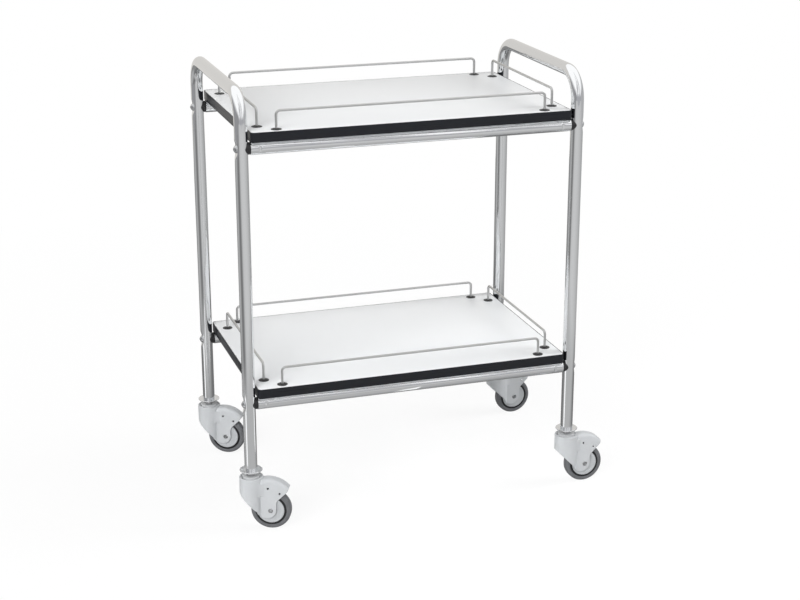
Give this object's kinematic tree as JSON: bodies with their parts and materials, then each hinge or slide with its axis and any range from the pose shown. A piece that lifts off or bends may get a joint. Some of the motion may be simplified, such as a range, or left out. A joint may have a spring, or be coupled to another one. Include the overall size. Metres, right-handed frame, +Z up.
{
  "type": "utility cart",
  "caption": "Tubular steel utility cart with two white shelves, wire galleries, handle ends and swivel castors.",
  "frame": {"origin": "on the floor, midway between the four posts", "axes": "+Z up, +X along the shelves to the right handle, the front at -Y"},
  "size_m": [0.7748, 0.4595, 0.8765],
  "materials": {
    "chrome_tube": "bright chrome plate on steel tube",
    "zinc_steel": "bright zinc plate",
    "dark_steel": "blackened steel",
    "satin_wire": "satin nickel plated wire",
    "white_laminate": "white melamine faced board",
    "black_band": "satin black edging",
    "black_plastic": "moulded black plastic",
    "castor_grey": "moulded light grey plastic",
    "wheel_black": "moulded black plastic",
    "bush_plastic": "natural acetal",
    "tyre_grey": "non-marking grey rubber"
  },
  "bodies": {
    "frame": {"left_end_frame": "chrome_tube", "right_end_frame": "chrome_tube", "upper_front_rail": "chrome_tube", "upper_rear_rail": "chrome_tube", "lower_front_rail": "chrome_tube", "lower_rear_rail": "chrome_tube", "rail_inserts": "zinc_steel", "post_saddles": "black_plastic", "frame_bolts": "zinc_steel", "upper_shelf_board": "white_laminate", "lower_shelf_board": "white_laminate", "upper_edge_band": "black_band", "lower_edge_band": "black_band", "upper_shelf_screws": "zinc_steel", "lower_shelf_screws": "zinc_steel", "upper_front_gallery": "satin_wire", "upper_rear_gallery": "satin_wire", "upper_left_gallery": "satin_wire", "upper_right_gallery": "satin_wire", "lower_front_gallery": "satin_wire", "lower_rear_gallery": "satin_wire", "lower_left_gallery": "satin_wire", "lower_right_gallery": "satin_wire", "upper_gallery_grommets": "black_plastic", "lower_gallery_grommets": "black_plastic", "castor_sockets": "black_plastic", "castor_discs": "zinc_steel", "castor_stems": "dark_steel"},
    "front_left_castor": {"front_left_castor_housing": "castor_grey", "front_left_swivel_bearing": "bush_plastic", "front_left_wheel_axle": "zinc_steel"},
    "front_left_wheel": {"front_left_wheel_bush": "bush_plastic", "front_left_wheel_core": "wheel_black", "front_left_tyre": "tyre_grey", "front_left_wheel_covers": "castor_grey"},
    "front_right_castor": {"front_right_castor_housing": "castor_grey", "front_right_swivel_bearing": "bush_plastic", "front_right_wheel_axle": "zinc_steel"},
    "front_right_wheel": {"front_right_wheel_bush": "bush_plastic", "front_right_wheel_core": "wheel_black", "front_right_tyre": "tyre_grey", "front_right_wheel_covers": "castor_grey"},
    "rear_left_castor": {"rear_left_castor_housing": "castor_grey", "rear_left_swivel_bearing": "bush_plastic", "rear_left_wheel_axle": "zinc_steel"},
    "rear_left_wheel": {"rear_left_wheel_bush": "bush_plastic", "rear_left_wheel_core": "wheel_black", "rear_left_tyre": "tyre_grey", "rear_left_wheel_covers": "castor_grey"},
    "rear_right_castor": {"rear_right_castor_housing": "castor_grey", "rear_right_swivel_bearing": "bush_plastic", "rear_right_wheel_axle": "zinc_steel"},
    "rear_right_wheel": {"rear_right_wheel_bush": "bush_plastic", "rear_right_wheel_core": "wheel_black", "rear_right_tyre": "tyre_grey", "rear_right_wheel_covers": "castor_grey"}
  },
  "joints": [
    {"name": "front_left_swivel", "type": "hinge", "parent": "frame", "child": "front_left_castor", "pos_m": [-0.336, -0.197, 0.0955], "axis": [0, 0, 1], "continuous": true},
    {"name": "front_left_wheel_spin", "type": "hinge", "parent": "front_left_castor", "child": "front_left_wheel", "pos_m": [-0.30037, -0.21286, 0.04], "axis": [0.4067, 0.9135, 0], "continuous": true},
    {"name": "front_right_swivel", "type": "hinge", "parent": "frame", "child": "front_right_castor", "pos_m": [0.336, -0.197, 0.0955], "axis": [0, 0, 1], "continuous": true},
    {"name": "front_right_wheel_spin", "type": "hinge", "parent": "front_right_castor", "child": "front_right_wheel", "pos_m": [0.375, -0.197, 0.04], "axis": [0, 1, 0], "continuous": true},
    {"name": "rear_left_swivel", "type": "hinge", "parent": "frame", "child": "rear_left_castor", "pos_m": [-0.336, 0.197, 0.0955], "axis": [0, 0, 1], "continuous": true},
    {"name": "rear_left_wheel_spin", "type": "hinge", "parent": "rear_left_castor", "child": "rear_left_wheel", "pos_m": [-0.30223, 0.1775, 0.04], "axis": [0.5, 0.866, 0], "continuous": true},
    {"name": "rear_right_swivel", "type": "hinge", "parent": "frame", "child": "rear_right_castor", "pos_m": [0.336, 0.197, 0.0955], "axis": [0, 0, 1], "continuous": true},
    {"name": "rear_right_wheel_spin", "type": "hinge", "parent": "rear_right_castor", "child": "rear_right_wheel", "pos_m": [0.3749, 0.19972, 0.04], "axis": [-0.0698, 0.9976, 0], "continuous": true}
  ]
}
